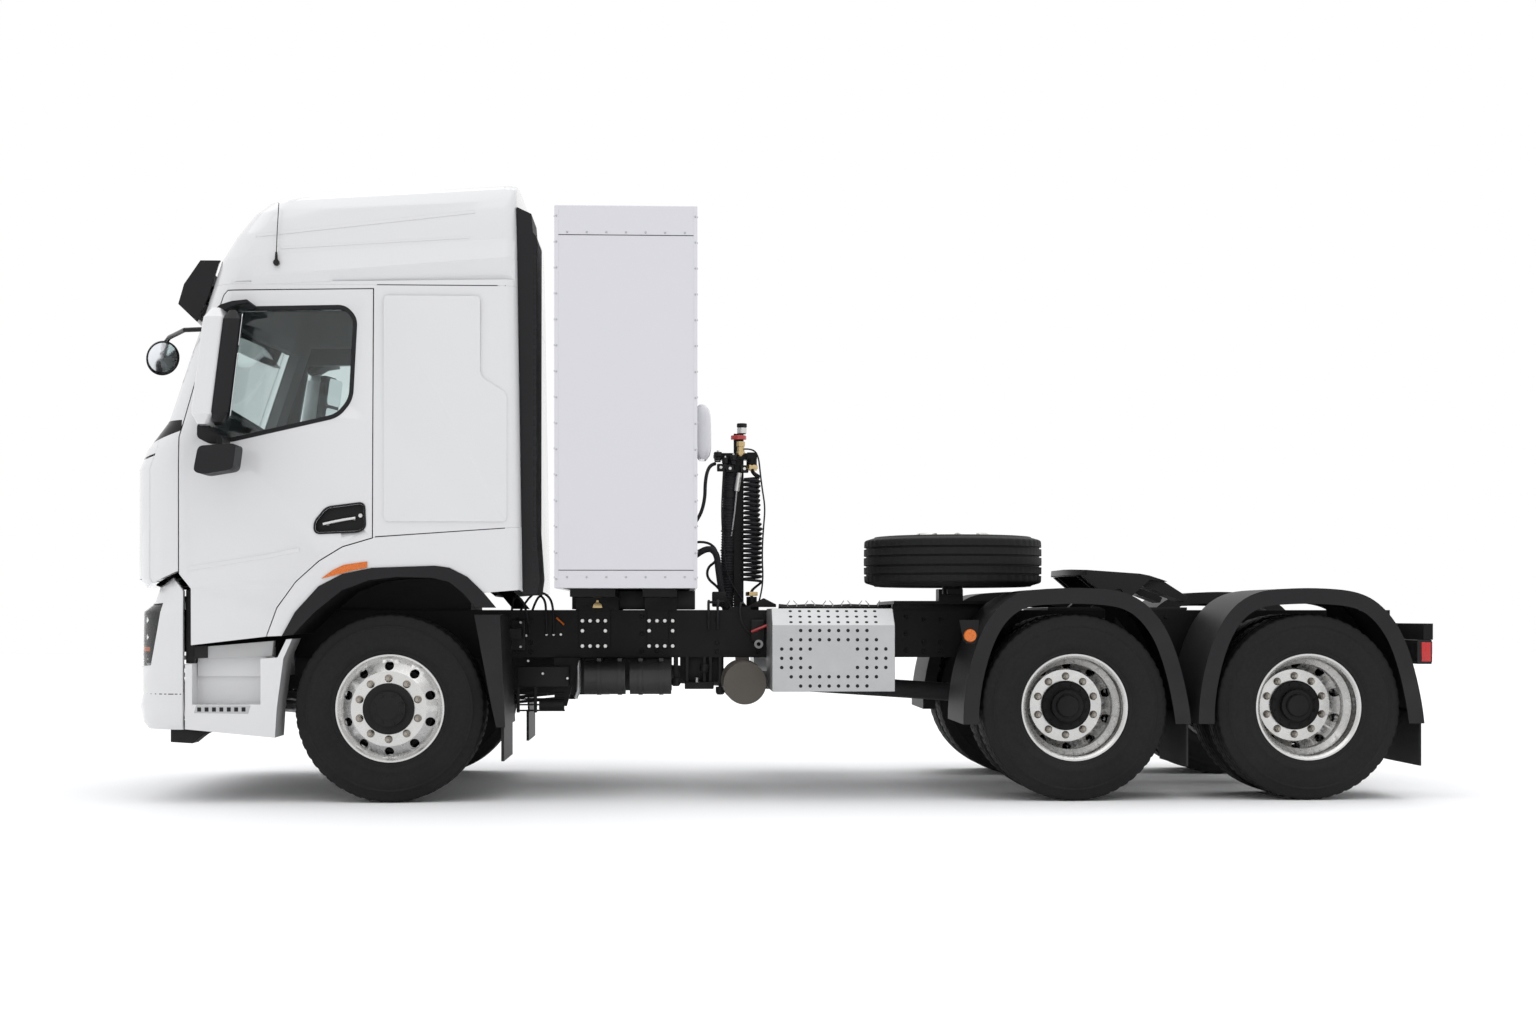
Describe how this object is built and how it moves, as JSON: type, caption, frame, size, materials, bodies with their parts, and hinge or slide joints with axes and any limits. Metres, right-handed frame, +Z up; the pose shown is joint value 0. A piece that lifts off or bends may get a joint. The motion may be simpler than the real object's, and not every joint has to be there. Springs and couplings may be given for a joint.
{
  "type": "six-by-four semi truck tractor unit",
  "caption": "Forward-control tractor unit with a tilting high-roof sleeper cab, gas bottle cabinet behind it, steered front axle, twin-wheel drive bogie, fifth wheel and flat spare wheel.",
  "frame": {"origin": "on the ground under the middle of the whole vehicle", "axes": "+X from the front bumper to the tail, +Y from the left side to the right side, +Z up"},
  "size_m": [7.3428, 3.2, 3.444],
  "materials": {
    "white_paint": "clear-coated gloss",
    "cabinet_paint": "smooth gloss",
    "frame_paint": "satin black",
    "black_plastic": "fine-grained matt",
    "grey_plastic": "matt",
    "glass": "tinted clear",
    "lamp_clear": "clear lens",
    "lamp_red": "moulded lens",
    "tyre": "matt",
    "wheel_alloy": "polished",
    "bare_aluminium": "brushed",
    "cast_black": "painted casting",
    "engine_block": "painted casting",
    "upholstery": "woven",
    "hose": "coiled hose",
    "tank_black": "semi-gloss black"
  },
  "bodies": {
    "chassis": {"frame_rails": "frame_paint", "cross_members": "frame_paint", "driveline": "engine_block", "front_axle": "cast_black", "leaf_springs": "cast_black", "drive_axles": "cast_black", "bumper": "white_paint", "headlamps": "lamp_clear", "step_panels": "white_paint", "front_flaps": "black_plastic", "gas_cabinet": "cabinet_paint", "cabinet_base": "frame_paint", "air_tanks": "tank_black", "battery_box": "bare_aluminium", "silencer": "tank_black", "hose_stand": "frame_paint", "coiled_hose_left": "hose", "coiled_hose_right": "hose", "spare_tyre": "tyre", "spare_rim": "wheel_alloy", "spare_carrier": "frame_paint", "fifth_wheel_base": "cast_black", "rear_guards": "black_plastic", "tail_lamps": "lamp_red"},
    "cab": {"cab_shell": "white_paint", "cab_floor": "grey_plastic", "cab_roof": "white_paint", "cab_wings": "white_paint", "cowl": "black_plastic", "windscreen": "glass", "sun_visor": "black_plastic", "air_intake": "black_plastic", "front_mirror": "black_plastic", "arch_trims": "black_plastic", "dashboard": "grey_plastic", "seats": "upholstery", "bunk": "upholstery"},
    "front_lid": {"front_lid": "white_paint"},
    "door_left": {"door_left": "white_paint", "door_glass_left": "glass", "mirror_left": "black_plastic"},
    "door_right": {"door_right": "white_paint", "door_glass_right": "glass", "mirror_right": "black_plastic"},
    "knuckle_left": {"knuckle_left": "cast_black"},
    "knuckle_right": {"knuckle_right": "cast_black"},
    "tie_rod": {"tie_rod": "cast_black"},
    "fifth_wheel": {"fifth_wheel_plate": "cast_black"},
    "wheel_front_left": {"tyre_front_left": "tyre", "wheel_front_left": "wheel_alloy"},
    "wheel_front_right": {"tyre_front_right": "tyre", "wheel_front_right": "wheel_alloy"},
    "wheels_drive1_left": {"tyres_drive1_left": "tyre", "wheels_drive1_left": "wheel_alloy"},
    "wheels_drive1_right": {"tyres_drive1_right": "tyre", "wheels_drive1_right": "wheel_alloy"},
    "wheels_drive2_left": {"tyres_drive2_left": "tyre", "wheels_drive2_left": "wheel_alloy"},
    "wheels_drive2_right": {"tyres_drive2_right": "tyre", "wheels_drive2_right": "wheel_alloy"}
  },
  "joints": [
    {"name": "cab_tilt", "type": "hinge", "parent": "chassis", "child": "cab", "pos_m": [-3.5165, 0, 1.04], "axis": [0, -1, 0], "range_deg": [0, 55]},
    {"name": "front_lid_hinge", "type": "hinge", "parent": "cab", "child": "front_lid", "pos_m": [-3.6185, 0, 1.92], "axis": [0, 1, 0], "range_deg": [0, 70]},
    {"name": "door_left_hinge", "type": "hinge", "parent": "cab", "child": "door_left", "pos_m": [-3.3015, -1.24, 1.9], "axis": [0, 0, -1], "range_deg": [0, 70]},
    {"name": "door_right_hinge", "type": "hinge", "parent": "cab", "child": "door_right", "pos_m": [-3.3015, 1.24, 1.9], "axis": [0, 0, 1], "range_deg": [0, 70]},
    {"name": "steer_left", "type": "hinge", "parent": "chassis", "child": "knuckle_left", "pos_m": [-2.1965, -0.87, 0.522], "axis": [0, 0, 1], "range_deg": [-35, 35]},
    {"name": "steer_right", "type": "hinge", "parent": "chassis", "child": "knuckle_right", "pos_m": [-2.1965, 0.87, 0.522], "axis": [0, 0, 1], "range_deg": [-35, 35]},
    {"name": "tie_rod_pin", "type": "hinge", "parent": "knuckle_left", "child": "tie_rod", "pos_m": [-2.0065, -0.87, 0.372], "axis": [0, 0, 1], "range_deg": [-35, 35]},
    {"name": "wheel_front_left_spin", "type": "hinge", "parent": "knuckle_left", "child": "wheel_front_left", "pos_m": [-2.1965, -1.04, 0.522], "axis": [0, 1, 0], "continuous": true},
    {"name": "wheel_front_right_spin", "type": "hinge", "parent": "knuckle_right", "child": "wheel_front_right", "pos_m": [-2.1965, 1.04, 0.522], "axis": [0, 1, 0], "continuous": true},
    {"name": "wheels_drive1_left_spin", "type": "hinge", "parent": "chassis", "child": "wheels_drive1_left", "pos_m": [1.6035, -0.928, 0.522], "axis": [0, 1, 0], "continuous": true},
    {"name": "wheels_drive1_right_spin", "type": "hinge", "parent": "chassis", "child": "wheels_drive1_right", "pos_m": [1.6035, 0.928, 0.522], "axis": [0, 1, 0], "continuous": true},
    {"name": "wheels_drive2_left_spin", "type": "hinge", "parent": "chassis", "child": "wheels_drive2_left", "pos_m": [2.9255, -0.928, 0.522], "axis": [0, 1, 0], "continuous": true},
    {"name": "wheels_drive2_right_spin", "type": "hinge", "parent": "chassis", "child": "wheels_drive2_right", "pos_m": [2.9255, 0.928, 0.522], "axis": [0, 1, 0], "continuous": true},
    {"name": "fifth_wheel_pivot", "type": "hinge", "parent": "chassis", "child": "fifth_wheel", "pos_m": [2.0185, 0, 1.168], "axis": [0, -1, 0], "range_deg": [0, 14]}
  ],
  "couplings": [
    {"joint": "steer_right", "follows": "steer_left", "ratio": 1},
    {"joint": "tie_rod_pin", "follows": "steer_left", "ratio": -1}
  ]
}
